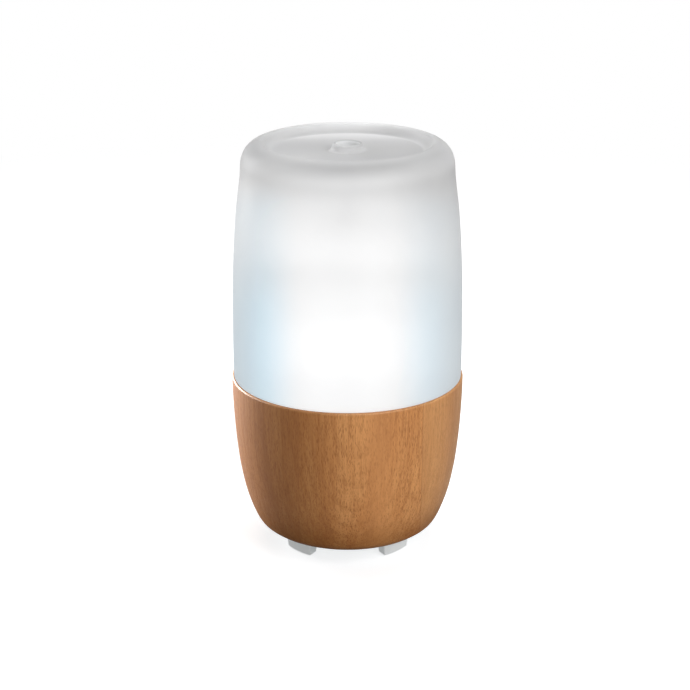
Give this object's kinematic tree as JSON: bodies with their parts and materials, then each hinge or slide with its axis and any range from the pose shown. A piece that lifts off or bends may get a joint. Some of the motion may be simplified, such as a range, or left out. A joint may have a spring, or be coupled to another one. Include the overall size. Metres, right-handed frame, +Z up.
{
  "type": "essential oil diffuser",
  "caption": "Ultrasonic essential oil diffuser: frosted lift-off cover with a central mist outlet over a lidded water tank, in a turned wood base on short feet.",
  "frame": {"origin": "centre of the feet's contact plane on the floor, on the body's axis", "axes": "+Z up along the body's axis, -Y towards the front, +Y towards the socket and the two buttons at the back"},
  "size_m": [0.096, 0.096, 0.1714],
  "materials": {
    "beech_wood": "satin",
    "frosted_cover": "matte",
    "frosted_lid": "matte",
    "milky_tank": "gloss",
    "housing_plastic": "matte",
    "clear_foot_plastic": "satin",
    "panel_plastic": "satin",
    "button_plastic": "gloss",
    "silicone": "matte",
    "silicone_seal": "satin",
    "dark_plastic": "matte",
    "circuit_board": "satin",
    "led_board_white": "satin",
    "component_plastic": "satin",
    "connector_plastic": "satin",
    "zinc_screw": "satin",
    "piezo_steel": "satin",
    "aluminium": "satin",
    "brass_pin": "polished",
    "bronze_bush": "satin",
    "core_steel": "satin",
    "copper_wire": "gloss",
    "shaft_steel": "polished",
    "magnet": "matte",
    "led": "gloss",
    "wire_sleeve": "satin",
    "wire_sleeve_pale": "satin"
  },
  "bodies": {
    "base": {"wood_sleeve": "beech_wood", "base_housing": "housing_plastic", "rear_panel": "panel_plastic", "switch_board": "circuit_board", "tact_switches": "dark_plastic", "dc_jack": "dark_plastic", "dc_jack_pin": "brass_pin", "water_tank": "milky_tank", "tank_gasket": "silicone_seal", "air_duct_cap": "milky_tank", "tank_screws": "zinc_screw", "transducer_disc": "piezo_steel", "transducer_seal": "silicone_seal", "transducer_clamp": "housing_plastic", "transducer_screws": "zinc_screw", "led_board": "led_board_white", "led_chips": "led", "led_board_screws": "zinc_screw", "main_board": "circuit_board", "board_components": "component_plastic", "heat_sink": "aluminium", "board_connectors": "connector_plastic", "main_board_screws": "zinc_screw", "fan_frame": "dark_plastic", "fan_bushing": "bronze_bush", "fan_stator_core": "core_steel", "fan_coils": "copper_wire", "fan_circuit_board": "circuit_board", "bottom_plate": "clear_foot_plastic", "foot_pads": "silicone", "bottom_screws": "zinc_screw", "fan_screws": "zinc_screw", "fan_cable": "wire_sleeve", "transducer_cable": "wire_sleeve_pale", "led_cable": "wire_sleeve_pale", "power_cable": "wire_sleeve", "switch_cable": "wire_sleeve_pale"},
    "cover": {"outer_cover": "frosted_cover"},
    "lid": {"inner_lid": "frosted_lid"},
    "fan": {"fan_rotor": "dark_plastic", "fan_magnet": "magnet", "fan_shaft": "shaft_steel"},
    "mist_switch": {"mist_button": "button_plastic"},
    "light_switch": {"light_button": "button_plastic"}
  },
  "joints": [
    {"name": "lid_lift", "type": "slide", "parent": "base", "child": "lid", "axis": [0, 0, 1], "range_m": [0, 0.03]},
    {"name": "cover_lift", "type": "slide", "parent": "lid", "child": "cover", "axis": [0, 0, 1], "range_m": [0, 0.105]},
    {"name": "fan_spin", "type": "hinge", "parent": "base", "child": "fan", "pos_m": [0, 0, 0.0149], "axis": [0, 0, 1], "continuous": true},
    {"name": "mist_button_press", "type": "slide", "parent": "base", "child": "mist_switch", "axis": [0, -1, 0], "range_m": [0, 0.0006], "stiffness_N_per_m": 800},
    {"name": "light_button_press", "type": "slide", "parent": "base", "child": "light_switch", "axis": [0, -1, 0], "range_m": [0, 0.0006], "stiffness_N_per_m": 800}
  ]
}
